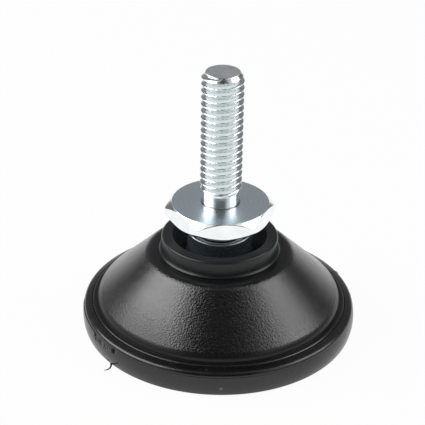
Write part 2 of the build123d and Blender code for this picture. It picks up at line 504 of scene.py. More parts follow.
@dataclass(frozen=True)
class ZincPlate:
    """Bright zinc plating on turned steel: even bluish white, with turning rings on the flat faces."""

    shoulder: float
    hex_bottom: float
    hex_top: float
    thread_start: float
    end: float
    pale: Colour = (0.96, 0.98, 0.98, 1.0)
    deep: Colour = (0.87, 0.91, 0.92, 1.0)
    face: Colour = (0.84, 0.93, 0.98, 1.0)
    face_dark: Colour = (0.70, 0.81, 0.87, 1.0)
    rolled: Colour = (0.82, 0.88, 0.89, 1.0)
    # Painted shade: grey for the metal below the hexagon and in the thread's grooves.
    shade_grey: Colour = (0.30, 0.33, 0.35, 1.0)
    # Painted light and shade: dim grey-blue for the neck inside the socket.
    neck: Colour = (0.20, 0.25, 0.30, 1.0)
    # Painted shade: dark line in the corner at the relief's root.
    corner_shade: Colour = (0.12, 0.13, 0.14, 1.0)
    polish: float = 0.11
    lathe_polish: float = 0.19
    thread_polish: float = 0.18
    face_polish: float = 0.30
    cloud_size: float = 1.6
    fine_size: float = 0.12
    pit_size: float = 0.25
    ring_pitch: float = 0.21
    ring_depth: float = 0.007
    ring_contrast: float = 0.32
    slow_ring_share: float = 0.29
    slow_ring_contrast: float = 0.16
    centre_mark: float = 0.32
    groove_from: float = 2.60
    groove_to: float = 2.41
    groove_shade_share: float = 0.31

    def make(self) -> bpy.types.Material:
        """Builds the material: clouded plating, with painted shade below the hexagon, in the thread's
        grooves and in the corner at the relief's root, and painted light and shade on the neck in the
        socket.

        Where a face is turned flat, sines of the radius draw rings on it, bent by the clouds.
        """
        material, graph = new_material(Slot.ZINC.value)
        place = graph.place()
        height = graph.axes(place)[2] / MM
        radius = graph.radius(place)
        cloud = graph.noise(place, self.cloud_size, 3.0)
        fine = graph.noise(place, self.fine_size)
        hex_face = (height - self.hex_top).size().rise(0.10, 0.03) * radius.rise(2.7, 2.9)
        end_face = height.rise(self.end - 0.09, self.end - 0.03)
        turned = hex_face.most(end_face)
        plating = graph.mix(cloud.rise(0.3, 0.75), self.pale, self.deep)
        waves = 2 * math.pi / self.ring_pitch
        rings = (radius * waves + cloud * 3).sine()
        slow_rings = (radius * (self.slow_ring_share * waves) + cloud * 4).sine()
        ringed = 0.5 + rings * cloud.rise(0.35, 0.65) * self.ring_contrast
        ringed = ringed + slow_rings * self.slow_ring_contrast
        face = graph.mix(ringed * (0.7 + 0.3 * fine), self.face_dark, self.face)
        colour = graph.mix(turned, plating, face)
        mottled = radius.rise(self.centre_mark, 0.15).most(cloud.rise(0.25, 0.6))
        colour = graph.mix(end_face * mottled, colour, self.pale)
        # Painted shade: below the hexagon's underside the metal is darkened towards grey.
        under_hex_shade = height.rise(self.hex_bottom - 0.2, self.hex_bottom - 0.8)
        colour = graph.mix(under_hex_shade * (0.8 + 0.2 * cloud), colour, self.shade_grey)
        # Painted light and shade: inside the socket the neck turns dim grey-blue, less metallic and rougher.
        in_socket = height.rise(self.shoulder - 0.15, self.shoulder - 0.4)
        colour = graph.mix(in_socket, colour, self.neck)
        # Painted shade: a dark line in the corner where the relief meets the hexagon's top.
        corner = radius.rise(2.86, 2.78) * (height - self.hex_top - 0.07).size().rise(0.11, 0.06)
        colour = graph.mix(corner * (0.6 + 0.4 * cloud), colour, self.corner_shade)
        plain = height.rise(self.hex_top + 0.15, self.hex_top + 0.4)
        plain = plain * height.rise(self.thread_start, self.thread_start - 0.5)
        lathe = (height * waves + fine * 2).sine()
        pits = graph.noise(place, self.pit_size, 3.0)
        ring_zone = turned * radius.rise(0.2, 0.6)
        relief = rings * ring_zone * 0.5 + lathe * plain * 0.35 + pits * 0.5
        threaded = height.rise(self.thread_start - 0.3, self.thread_start + 0.5) * (1 - turned)
        colour = graph.mix(threaded * (0.7 + 0.3 * cloud), colour, self.rolled)
        # Painted shade: the thread's grooves are greyed towards their roots.
        groove_shade = threaded * radius.rise(self.groove_from, self.groove_to)
        colour = graph.mix(groove_shade * self.groove_shade_share * (0.6 + 0.8 * cloud), colour, self.shade_grey)
        roughness = self.polish + (fine - 0.5) * 0.12 + (cloud - 0.5) * 0.1
        roughness = roughness + turned * (self.face_polish - self.polish)
        roughness = roughness + plain * (self.lathe_polish - self.polish)
        roughness = roughness + threaded * (self.thread_polish - self.polish)
        sockets = {
            "Base Color": colour,
            "Metallic": 1 - 0.25 * in_socket,
            "Roughness": roughness + 0.15 * in_socket,
            "Normal": graph.bump(relief, self.ring_depth),
        }
        graph.surface(graph.principled(sockets))
        return material


@dataclass(frozen=True)
class SmoothPlastic:
    """Smooth black moulding of the socket insert, with faint flow marks and painted light inside the mouth.
    """

    mouth_radius: float
    dark: Colour = (0.008, 0.010, 0.010, 1.0)
    light: Colour = (0.014, 0.017, 0.016, 1.0)
    # Painted light: lighter grey inside the mouth, which lies in shade.
    mouth_light: Colour = (0.085, 0.100, 0.100, 1.0)
    polish: float = 0.33
    shine: float = 0.42
    flow_size: float = 2.4
    fine_size: float = 0.14
    fine_depth: float = 0.004

    def make(self) -> bpy.types.Material:
        """Builds the material: slow clouds in the colour, a very fine unevenness and painted light in the
        mouth.
        """
        material, graph = new_material(Slot.SMOOTH.value)
        place = graph.place()
        flow = graph.noise(graph.stretched(place, (1.0, 1.0, 3.0)), self.flow_size, 3.0)
        fine = graph.noise(place, self.fine_size)
        # Painted light: the mouth's inside is painted lighter than the moulding.
        inside = graph.radius(place).rise(self.mouth_radius + 0.05, self.mouth_radius - 0.1)
        colour = graph.mix(flow, self.dark, self.light)
        sockets = {
            "Base Color": graph.mix(inside * (0.6 + 0.4 * flow), colour, self.mouth_light),
            "Roughness": self.polish + (flow - 0.5) * 0.12 + (fine - 0.5) * 0.08,
            "Specular IOR Level": self.shine,
            "Normal": graph.bump(fine, self.fine_depth),
        }
        graph.surface(graph.principled(sockets))
        return material


@dataclass(frozen=True)
class GrainedPlastic:
    """Black moulding with a fine glossy grain on the cone, plain satin rims and a polished flange edge."""

    grain_from: float
    grain_to: float
    edge_from: float
    dark: Colour = (0.006, 0.006, 0.007, 1.0)
    light: Colour = (0.011, 0.011, 0.012, 1.0)
    polish: float = 0.17
    shine: float = 0.75
    grain: float = 0.25
    grain_depth: float = 0.028
    rim_polish: float = 0.30
    rim_shine: float = 0.34
    cloud_size: float = 6.0
    scuff_from: float = 13.0
    scuff_to: float = 17.5
    scuff_roughness: float = 0.09
    scuff_dullness: float = 0.55

    def make(self) -> bpy.types.Material:
        """Builds the material: two sizes of pits on the cone, which fade out towards its plainer rims.

        The cone's glossy shader and the rims' satin one are mixed. Low on the left in front, where the cone
        is scuffed, the satin one shows through.
        """
        material, graph = new_material(Slot.GRAINED.value)
        place = graph.place()
        radius = graph.radius(place)
        pits = graph.noise(place, self.grain)
        fine = graph.noise(place, self.grain * 0.3)
        cloud = graph.noise(place, self.cloud_size)
        inside = radius.rise(self.grain_to, self.grain_to - 0.3)
        grained = radius.rise(self.grain_from, self.grain_from + 1.0) * inside
        glossy = grained.most(radius.rise(self.edge_from, self.edge_from + 0.1))
        relief = (pits.rise(0.25, 0.75) * 0.75 + fine * 0.25) * (0.12 + 0.88 * grained)
        across, along, _ = graph.axes(place)
        scuffed = radius.rise(self.scuff_from, self.scuff_to) * (across / MM).rise(-3.0, -10.0)
        scuffed = scuffed * (along / MM).rise(0.5, -5.5)
        uneven = (cloud - 0.5) * 0.08 + (fine - 0.5) * 0.1 + self.scuff_roughness * scuffed
        shared = {
            "Base Color": graph.mix(pits.rise(0.3, 0.7), self.dark, self.light),
            "Normal": graph.bump(relief, self.grain_depth),
        }
        shaders = [
            graph.principled({**shared, "Roughness": polish + uneven, "Specular IOR Level": shine})
            for polish, shine in ((self.rim_polish, self.rim_shine), (self.polish, self.shine))
        ]
        graph.surface(graph.blend(glossy * (1 - self.scuff_dullness * scuffed), *shaders))
        return material


@dataclass(frozen=True)
class SoleRubber:
    """Dull black rubber with a painted highlight along its shoulder, dust, scuffs near its moulding flash
    and a pale speck.
    """

    seam: float
    scuff: tuple[float, float, float]
    speck: tuple[float, float, float]
    nick: tuple[float, float, float]
    dark: Colour = (0.003, 0.003, 0.003, 1.0)
    worn: Colour = (0.007, 0.007, 0.007, 1.0)
    dust: Colour = (0.30, 0.31, 0.33, 1.0)
    polish: float = 0.24
    lip_polish: float = 0.22
    shine: float = 0.6
    # Painted highlight: share of the lighter band along the shoulder.
    shoulder_highlight: float = 0.04
    shoulder_highlight_lift: float = 0.5
    cloud_size: float = 2.2
    fine_size: float = 0.16
    dust_size: float = 0.22
    scuff_size: float = 0.4
    scuff_reach: float = 3.2
    speck_reach: float = 0.30
    nick_reach: float = 0.6
    nick_grain: float = 0.5
    nick_raggedness: float = 0.9
    nick_roughness: float = 0.8
    nick_shine: float = 0.1
    scuff_dust: float = 0.35
    speck_dust: float = 0.6
    loose_dust: float = 0.3
    crease_width: float = 0.08
    depth: float = 0.02

    def make(self) -> bpy.types.Material:
        """Builds the material: matt clouds drawn out round the side, fine dust, a painted highlight along
        the shoulder, a seam, and three marks.

        The marks are the scuff and the pale speck, which are dust, and the nick, a darker, duller shader
        whose ragged edge is its distance plus a noise.
        """
        material, graph = new_material(Slot.RUBBER.value)
        place = graph.place()
        cloud = graph.noise(graph.stretched(place, (0.5, 0.5, 1.4)), self.cloud_size, 4.0, 0.6)
        fine = graph.noise(place, self.fine_size, 3.0, 0.6)
        height = graph.axes(place)[2] / MM
        at_seam = (height - self.scuff[2]).size().rise(0.3, 0.1)
        near = graph.distance(place, self.scuff).rise(self.scuff_reach, 1.5) * at_seam
        scuffed = near * graph.noise(place, self.scuff_size, 3.0).rise(0.48, 0.62)
        specked = graph.distance(place, self.speck).rise(self.speck_reach, 0.12)
        specks = graph.noise(place, self.dust_size, 1.0).rise(0.73, 0.80)
        worn = graph.mix(cloud.rise(0.35, 0.7), self.dark, self.worn)
        # Painted highlight: a lighter band along the shoulder, above the seam, in the dust colour.
        from_edge = (height - (self.seam + self.shoulder_highlight_lift)).size()
        edge = from_edge.rise(0.22, 0.05) * (0.4 + 0.6 * cloud)
        dust_and_highlight = (scuffed * self.scuff_dust).most(specked * self.speck_dust)
        dust_and_highlight = dust_and_highlight.most(specks * self.loose_dust).most(edge * self.shoulder_highlight)
        lip = height.rise(self.seam - 0.05, self.seam + 0.05)
        crease = (height - self.seam).size().rise(self.crease_width, 0.0)
        roughness = self.polish + lip * (self.lip_polish - self.polish)
        sockets = {
            "Base Color": graph.mix(dust_and_highlight, worn, self.dust),
            "Roughness": roughness + (cloud - 0.5) * 0.2 + (fine - 0.5) * 0.15,
            "Specular IOR Level": self.shine,
            "Normal": graph.bump(cloud * 0.6 + fine * 0.4 - crease, self.depth),
        }
        torn = {
            "Base Color": self.dark,
            "Roughness": self.nick_roughness,
            "Specular IOR Level": self.nick_shine,
        }
        rubber = graph.principled(sockets)
        hollow = graph.principled(torn)
        uneven = (graph.noise(place, self.nick_grain) - 0.5) * self.nick_raggedness
        ragged = graph.distance(place, self.nick) + uneven
        graph.surface(graph.blend(ragged.rise(self.nick_reach, 0.1), rubber, hollow))
        return material


# Pieces


def dress(piece: bpy.types.Object, body: Body, material: bpy.types.Material) -> None:
    """Gives a piece its finish and the body that it moves with.

    Args:
        piece: The piece.
        body: Body that carries it.
        material: Its finish.
    """
    piece.data.materials.append(material)
    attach(piece, body.value)


@dataclass
class BallStud:
    """Turned steel stud in one piece: ball, neck, waist, hexagon, relief and screw thread."""

    end: float
    ball_foot: float
    ball_height: float
    thread_radius: float
    stud_length: float = 20.0
    end_chamfer: float = 0.62
    pitch: float = 1.0
    crest_flat: float = 0.125
    thread_depth: float = 0.60
    thread_softness: float = 0.05
    centre_radius: float = 0.3
    centre_depth: float = 0.06
    relief_radius: float = 2.6
    relief_length: float = 2.2
    relief_root: float = 0.22
    run_out: float = 0.9
    hex_flats: float = 14.0
    hex_thickness: float = 2.45
    hex_trim: float = 0.13
    hex_inset: float = 0.06
    hex_chamfer: float = 38.5
    hex_turn: float = 6.3
    edge_round: float = 0.08
    waist_radius: float = 3.3
    waist_length: float = 2.05
    waist_round: float = 0.6
    waist_root: float = 0.15
    neck_radius: float = 4.66
    neck_round: float = 0.25
    ball_radius: float = 6.0
    rows_per_pitch: int = 24
    relief_rows: int = 14
    side_columns: int = 17
    corner_columns: int = 8

    @classmethod
    def from_frame(cls) -> "BallStud":
        """Reads the stud's ends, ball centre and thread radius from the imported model."""
        low, high = box_mm("ball_stud")
        thread = next(mount for mount in frame["record"]["mounts"] if mount["name"] == "stud_thread")
        return cls(high.z, low.z, ball_centre(), thread["dims"]["r_mm"])

    @property
    def hex_top(self) -> float:
        """Height of the hexagon's upper face."""
        return self.end - self.stud_length

    @property
    def hex_bottom(self) -> float:
        """Height of the hexagon's lower face."""
        return self.hex_top - self.hex_thickness

    @property
    def shoulder(self) -> float:
        """Height of the neck's shoulder."""
        return self.hex_bottom - self.waist_length

    @property
    def face_radius(self) -> float:
        """Radius of the circle where the hexagon's chamfers start."""
        return self.hex_flats / 2 - self.hex_inset

    @property
    def corner_radius(self) -> float:
        """Radius that the hexagon's corners are turned down to."""
        return self.hex_flats / math.sqrt(3) - self.hex_trim

    def columns(self) -> np.ndarray:
        """Returns the angles of the grid's columns, closer together at the hexagon's six corners."""
        flat_half = math.degrees(math.acos(self.hex_flats / 2 / self.corner_radius))
        corner = np.linspace(flat_half, 60 - flat_half, self.corner_columns)[1:-1]
        across = np.concatenate((np.linspace(-flat_half, flat_half, self.side_columns), corner))
        sides = np.arange(6)[:, None] * 60 + across[None, :]
        return np.radians(sides.ravel() - 90 + self.hex_turn)

    def lower_rows(self) -> np.ndarray:
        """Returns the section from the ball's flat to the hexagon's underside."""
        lowest = math.degrees(math.asin((self.ball_foot - self.ball_height) / self.ball_radius))
        highest = math.degrees(math.acos(self.neck_radius / self.ball_radius))
        ball = arc((0, self.ball_height), self.ball_radius, lowest, highest, 3.0)
        flat = rounded_line([(0, self.ball_foot), tuple(ball[0])])
        above = rounded_line(
            [
                tuple(ball[-1]),
                (self.neck_radius, self.shoulder, self.neck_round),
                (self.waist_radius, self.shoulder, self.waist_round),
                (self.waist_radius, self.hex_bottom, self.waist_root),
                (self.face_radius, self.hex_bottom),
            ]
        )
        return np.vstack((flat, ball[1:], above[1:]))

    def hexagon_rows(self, angle: np.ndarray) -> tuple[np.ndarray, np.ndarray]:
        """Works out the hexagon's sides and chamfers.

        The outline's radius is the smaller of half the flats over the cosine of the angle from a side's
        middle, and the turned corner. Both chamfers are cones that start at the face circle, so their edges
        bow on each side. Each edge is a short parabola between its two runs.

        Args:
            angle: Angles of the columns.

        Returns:
            Radii and heights, a row for each step from the lower face circle to the upper one.
        """
        past_corner = (angle - math.radians(self.hex_turn)) % np.radians(60)
        side = self.hex_flats / 2 / np.cos(np.abs(past_corner - np.radians(30)))
        outline = np.minimum(side, self.corner_radius)
        face = self.face_radius
        slope = math.tan(math.radians(self.hex_chamfer))
        middle = self.hex_top - self.hex_thickness / 2
        rise = self.hex_thickness / 2 - (outline - face) * slope
        chamfer = unit(np.array((1.0, slope)))
        corner = np.stack((outline, -rise), axis=-1)
        reach = np.minimum(self.edge_round, (outline - face)[:, None] * 0.45)
        share = np.linspace(0, 1, 6)[:, None, None]
        bend = (1 - share) ** 2 * (corner - chamfer * reach) + 2 * share * (1 - share) * corner
        bend = bend + share**2 * (corner + np.array((0, 1)) * reach)
        start = np.stack((face + 0 * outline, -self.hex_thickness / 2 + 0 * outline), axis=-1)
        chamfer_run = start + np.linspace(0.08, 0.92, 5)[:, None, None] * (bend[0] - start)
        side_run = bend[-1] + np.linspace(0.04, 0.5, 6)[:, None, None] * (bend[-1] * np.array((0, -2)))
        lower = np.concatenate((chamfer_run, bend, side_run))
        upper = lower[::-1] * np.array((1, -1))
        rows = np.concatenate((lower, upper[1:]))
        return rows[..., 0], rows[..., 1] + middle

    def thread_rows(self, angle: np.ndarray) -> tuple[np.ndarray, np.ndarray]:
        """Works out the relief, the screw thread and the end chamfer.

        The phase is the height over the pitch less the share of a turn. The radius falls from the crest by
        the tangent of 60 degrees times the distance from the crest's middle, clipped softly at crest and
        root. Below, it fades into the relief, and at the end a 45 degree cone cuts it.

        Args:
            angle: Angles of the columns.

        Returns:
            Radii and heights, a row for each height.
        """
        start = self.hex_top + self.relief_root
        thread_start = self.hex_top + self.relief_length - self.run_out / 2
        plain = np.linspace(start, thread_start, self.relief_rows)[:-1]
        count = int((self.end - thread_start) / self.pitch * self.rows_per_pitch)
        height = np.concatenate((plain, np.linspace(thread_start, self.end, count)))[:, None]
        phase = height / self.pitch - angle / (2 * math.pi)
        from_crest = np.abs(phase % 1 - 0.5) * self.pitch - self.crest_flat / 2
        cut = soft_clip(from_crest * math.tan(math.radians(60)), 0, self.thread_depth, self.thread_softness)
        screw = self.thread_radius - cut
        formed = smooth_step(height, thread_start, thread_start + self.run_out)
        radius = self.relief_radius + (screw - self.relief_radius) * formed
        cone = self.thread_radius - self.end_chamfer + (self.end - height)
        return np.minimum(radius, cone), height + 0 * angle

    def build(self) -> bpy.types.Object:
        """Joins the sections into one closed grid, from the ball's flat to the stud's end.

        A root arc leads from the hexagon's face to the thread's first row, which ends it.
        """
        angle = self.columns()
        root_radius = self.relief_radius + self.relief_root
        face = rounded_line([(self.face_radius, self.hex_top), (root_radius, self.hex_top)])
        root_centre = (root_radius, self.hex_top + self.relief_root)
        root = arc(root_centre, self.relief_root, -90, -180, 9.0)[1:-1]
        end = rounded_line(
            [
                (self.thread_radius - self.end_chamfer, self.end),
                (self.centre_radius, self.end),
                (0, self.end - self.centre_depth),
            ]
        )
        turned = (self.lower_rows(), np.vstack((face, root)), end[1:])
        lower, top, end = [np.repeat(line.T[:, :, None], len(angle), axis=2) for line in turned]
        rows = (lower, self.hexagon_rows(angle), top, self.thread_rows(angle), end)
        radius, height = (np.vstack(parts) for parts in zip(*rows))
        return make_piece("turned_stud", around_axis(radius, angle, height), sharp=28.0)

    def dress(self) -> None:
        """Builds the stud, gives it its plating and hides the plain solid."""
        piece = self.build()
        thread_start = self.hex_top + self.relief_length
        finish = ZincPlate(self.shoulder, self.hex_bottom, self.hex_top, thread_start, self.end)
        dress(piece, Body.STUD, finish.make())
        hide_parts("ball_stud")


@dataclass
class BallSocket:
    """Socket insert: smooth collar with a bead, seat for the ball, and six slotted fingers."""

    foot: float
    top: float
    bead_radius: float
    base_top: float
    ball_height: float
    bead_lift: float = 0.05
    bead_height: float = 0.3
    bead_bevel: float = 0.2
    bead_width: float = 0.36
    bead_round: float = 0.06
    bead_root: float = 0.05
    outer_radius: float = 7.95
    collar_round: float = 0.38
    mouth_radius: float = 6.867
    mouth_round: float = 0.2
    lip_radius: float = 5.635
    cavity_radius: float = 6.05
    seat_depth: float = 3.6
    slot_count: int = 6
    slot_width: float = 1.2
    slot_root: float = 0.9
    snap_lift: float = 1.1
    snap_depth: float = 0.3
    snap_half: float = 0.8
    snap_round: float = 0.1
    finger_columns: int = 30

    @classmethod
    def from_frame(cls) -> "BallSocket":
        """Reads the insert's ends and bead, the base's top and the ball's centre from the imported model."""
        low, high = box_mm("ball_socket")
        return cls(low.z, high.z, high.x, box_mm("foot_base")[1].z, ball_centre())

    @property
    def slot_top(self) -> float:
        """Height where the slots end."""
        return self.base_top - self.slot_root

    @property
    def lip_height(self) -> float:
        """Height where the ball's seat stops, at the lip's radius on the seat's sphere."""
        return self.ball_height + math.sqrt(self.cavity_radius**2 - self.lip_radius**2)

    def upper_rows(self) -> np.ndarray:
        """Returns the section above the slots, from the outer wall over the collar into the mouth."""
        bead_foot = self.base_top + self.bead_lift
        bead_top = bead_foot + self.bead_height
        collar_radius = self.bead_radius - self.bead_width
        share = (self.slot_top - self.lip_height) / (self.top - self.lip_height)
        return rounded_line(
            [
                (self.outer_radius, self.slot_top),
                (self.outer_radius, bead_foot),
                (self.bead_radius, bead_foot),
                (self.bead_radius, bead_top - self.bead_bevel, self.bead_round),
                (self.bead_radius - self.bead_bevel, bead_top, self.bead_round),
                (collar_radius, bead_top, self.bead_root),
                (collar_radius, self.top, self.collar_round),
                (self.mouth_radius, self.top, self.mouth_round),
                (self.lip_radius + share * (self.mouth_radius - self.lip_radius), self.slot_top),
            ],
            step=0.4,
        )

    def lower_rows(self, start: np.ndarray) -> np.ndarray:
        """Returns the section of a finger, from the mouth down the seat, under the foot and up the outside.

        Args:
            start: Last point of the section above, which isn't repeated.

        Returns:
            An array of (radius, height) rows.
        """
        well = math.sqrt(self.cavity_radius**2 - self.seat_depth**2)
        highest = math.degrees(math.acos(self.lip_radius / self.cavity_radius))
        lowest = -math.degrees(math.asin(self.seat_depth / self.cavity_radius))
        seat = arc((0, self.ball_height), self.cavity_radius, highest, lowest, 4.0)
        snap = self.foot + self.snap_lift
        outside = rounded_line(
            [
                (well, self.ball_height - self.seat_depth),
                (well, self.foot),
                (self.outer_radius, self.foot),
                (self.outer_radius, snap - self.snap_half),
                (self.outer_radius + self.snap_depth, snap, self.snap_round),
                (self.outer_radius, snap + self.snap_half),
                (self.outer_radius, self.slot_top),
            ],
            step=1.0,
        )
        lip = rounded_line([tuple(start), tuple(seat[0])])
        return np.vstack((lip[1:], seat[1:], outside[1:-1]))

    def build(self) -> bpy.types.Object:
        """Carries the closed section round the axis and leaves out its lower rows in the slots.

        A slot's half angle is the arc sine of half its width over the radius, so that its sides are
        parallel. The fingers' columns divide the angle between two slots evenly. Strips close the slots
        above, and many-sided faces close their sides.
        """
        upper = self.upper_rows()
        section = np.vstack((upper, self.lower_rows(upper[-1])))
        rows = len(section)
        inner = len(upper) - 1
        sector = 2 * math.pi / self.slot_count
        half = np.arcsin(self.slot_width / 2 / section[:, :1])
        even = np.linspace(0, 1, self.finger_columns + 2)[None, 1:-1]
        one = np.hstack((-half, 0 * half, half, half + even * (sector - 2 * half)))
        angle = (np.arange(self.slot_count)[None, :, None] * sector + one[:, None, :]).reshape(rows, -1)
        columns = angle.shape[1]
        points = around_axis(section[:, :1], angle, section[:, 1:])
        cells = grid_quads(rows, columns, wrap_rows=True)
        per_sector = one.shape[1]
        in_finger = np.arange(columns) % per_sector >= 2
        faces = cells[:inner].reshape(-1, 4).tolist() + cells[inner:, in_finger].reshape(-1, 4).tolist()
        slot_column = np.flatnonzero(~in_finger)
        inside = inner * columns + slot_column
        faces += np.stack((inside, inside + 1, slot_column + 1, slot_column), axis=-1).tolist()
        around = np.append(np.arange(inner, rows), 0) * columns
        edges = np.flatnonzero(np.isin(np.arange(columns) % per_sector, (0, 2)))
        faces += (edges[:, None] + around[None, :]).tolist()
        return make_piece("socket_insert", points, sharp=30.0, faces=faces)

    def dress(self) -> None:
        """Builds the insert, gives it its finish and hides the plain solid."""
        piece = self.build()
        dress(piece, Body.SOCKET, SmoothPlastic(self.mouth_radius).make())
        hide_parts("ball_socket")


@dataclass
class FootBase:
    """Conical base: grained cone, smooth ledge, flange, bored boss and eight ribs underneath."""

    foot: float
    top: float
    flange_radius: float
    cone_foot_radius: float = 17.8
    cone_top_radius: float = 10.317
    cone_height: float = 7.161
    cone_step: float = 0.739
    cone_top_round: float = 2.0
    cone_foot_round: float = 1.7
    flange_root: float = 0.05
    flange_round: float = 0.26
    polished_width: float = 0.1
    grain_above: float = 0.6
    grain_short: float = 0.3
    bore_radius: float = 8.0
    bore_floor: float = 1.0
    bore_chamfer: float = 0.2
    snap_lift: float = 2.4
    snap_depth: float = 0.4
    snap_half: float = 0.9
    grip_lift: float = 0.8
    grip_depth: float = 0.4
    grip_half: float = 0.5
    shell_wall: float = 1.9
    rim_width: float = 2.2
    boss_radius: float = 9.7
    boss_middle: float = 4.0
    rib_count: int = 8
    rib_thickness: float = 1.4
    pocket_rows: int = 10
    pocket_columns: int = 22

    @classmethod
    def from_frame(cls) -> "FootBase":
        """Reads the base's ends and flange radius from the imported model."""
        low, high = box_mm("foot_base")
        return cls(low.z, high.z, high.x)

    def outer_rows(self) -> np.ndarray:
        """Returns the section from the bore's floor over the cone to the flange's lower edge."""
        cone_foot = self.top - self.cone_height
        flange_top = cone_foot - self.cone_step
        floor = self.foot + self.bore_floor
        snap = self.foot + self.snap_lift
        grip = self.foot + self.grip_lift
        return rounded_line(
            [
                (0, floor),
                (self.bore_radius, floor),
                (self.bore_radius, snap - self.snap_half),
                (self.bore_radius + self.snap_depth, snap),
                (self.bore_radius, snap + self.snap_half),
                (self.bore_radius, self.top - self.bore_chamfer),
                (self.bore_radius + self.bore_chamfer, self.top),
                (self.cone_top_radius, self.top, self.cone_top_round),
                (self.cone_foot_radius, cone_foot, self.cone_foot_round),
                (self.cone_foot_radius, flange_top, self.flange_root),
                (self.flange_radius, flange_top, self.flange_round),
                (self.flange_radius, grip + self.grip_half),
                (self.flange_radius - self.grip_depth, grip),
                (self.flange_radius, grip - self.grip_half),
                (self.flange_radius, self.foot),
            ],
            step=0.8,
        )

    def under_rows(self) -> np.ndarray:
        """Returns the underside's rows as radius, height on a rib and height in a pocket.

        A pocket's ceiling rises from the rim towards the boss with the cone's slope, a wall below the cone.
        """
        slope = self.cone_height / (self.cone_foot_radius - self.cone_top_radius)
        side_wall = self.shell_wall / math.sin(math.atan(slope))
        rim = self.cone_foot_radius - self.rim_width
        wall_start = self.top - self.cone_height + (self.rim_width - side_wall) * slope
        across = np.linspace(rim, self.boss_radius, self.pocket_rows)
        ceiling = np.minimum(wall_start + (rim - across) * slope, self.top - self.shell_wall)
        pocket = np.stack((across, np.full_like(across, self.foot), ceiling), axis=-1)
        edge = np.array(((rim, self.foot, self.foot),))
        boss = np.array((self.boss_radius, self.boss_middle, 0.0))
        inside = np.stack((boss, np.full_like(boss, self.foot), np.full_like(boss, self.foot)), axis=-1)
        return np.vstack((edge, pocket, inside))

    def build(self) -> bpy.types.Object:
        """Carries the section round the axis; pockets between the ribs are a height that changes by column.

        A rib's half angle is the arc sine of half its thickness over the radius. Two columns stand at each
        side of a rib, one at the rib's height and one at the pocket's, and make the rib's wall.
        """
        outer = self.outer_rows()
        under = self.under_rows()
        radius = np.concatenate((outer[:, 0], under[:, 0]))[:, None]
        low = np.concatenate((outer[:, 1], under[:, 1]))[:, None]
        high = np.concatenate((outer[:, 1], under[:, 2]))[:, None]
        rib_radius = np.maximum(radius, self.boss_radius)
        rib_radius[: len(outer)] = self.flange_radius
        half = np.arcsin(self.rib_thickness / 2 / rib_radius)
        sector = 2 * math.pi / self.rib_count
        even = np.linspace(0, 1, self.pocket_columns + 2)[None, :]
        pocket = half + even * (sector - 2 * half)
        one = np.hstack((0 * half, half, pocket, sector - half))
        in_pocket = np.concatenate(([False, False], np.full(self.pocket_columns + 2, True), [False]))
        height = np.where(in_pocket[None, :], high, low)
        start = (np.arange(self.rib_count) + 0.5) * sector
        angle = (start[None, :, None] + one[:, None, :]).reshape(len(radius), -1)
        height = np.tile(height, (1, self.rib_count))
        return make_piece("grained_base", around_axis(radius, angle, height), sharp=30.0)

    def dress(self) -> None:
        """Builds the base, gives it its grain and hides the plain solid."""
        piece = self.build()
        grain_from = self.cone_top_radius - self.grain_above
        grain_to = self.cone_foot_radius - self.grain_short
        edge_from = self.flange_radius - self.flange_round - self.polished_width
        finish = GrainedPlastic(grain_from, grain_to, edge_from)
        dress(piece, Body.FOOT, finish.make())
        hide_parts("foot_base")


@dataclass(frozen=True)
class Mark:
    """A mark on the sole's side: its angle and height, and how far it reaches along each."""

    turn: float
    level: float
    width: float = 1.0
    spread: float = 1.0

    def bell(self, angle: np.ndarray, height: np.ndarray) -> np.ndarray:
        """Works out a bell of height 1: e to minus the squares of both distances over both reaches.

        Args:
            angle: Angles of the points.
            height: Heights of the points.

        Returns:
            The bell at each point.
        """
        away = (np.degrees(angle) - self.turn + 180) % 360 - 180
        return np.exp(-((away / self.width) ** 2) - ((height - self.level) / self.spread) ** 2)


